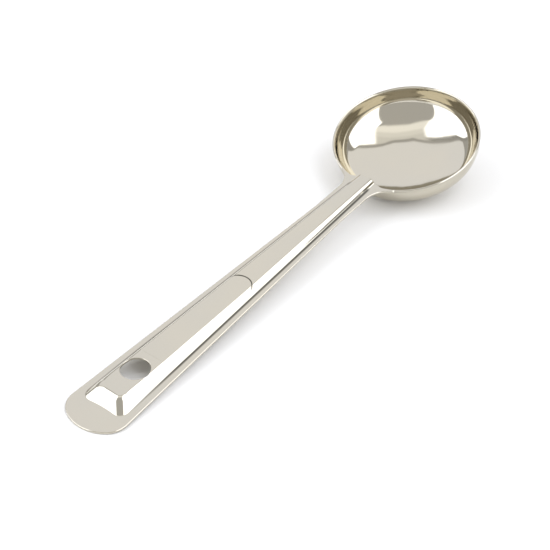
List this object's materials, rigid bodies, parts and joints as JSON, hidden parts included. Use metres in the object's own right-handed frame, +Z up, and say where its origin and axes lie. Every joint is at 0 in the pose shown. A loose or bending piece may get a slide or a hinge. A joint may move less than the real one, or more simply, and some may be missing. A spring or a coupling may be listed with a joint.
{
  "type": "ladle",
  "caption": "One-piece polished steel ladle with a round bowl, a ribbed tapering handle and a hanging hole.",
  "frame": {"origin": "middle of the overall length and width, on the surface that the ladle rests on", "axes": "+X along the handle from its end towards the bowl, +Y to the left of the handle seen from its end, +Z up"},
  "size_m": [0.3314, 0.09, 0.0386],
  "materials": {
    "steel": "mirror polished"
  },
  "bodies": {
    "root": {"ladle": "steel"}
  },
  "joints": []
}
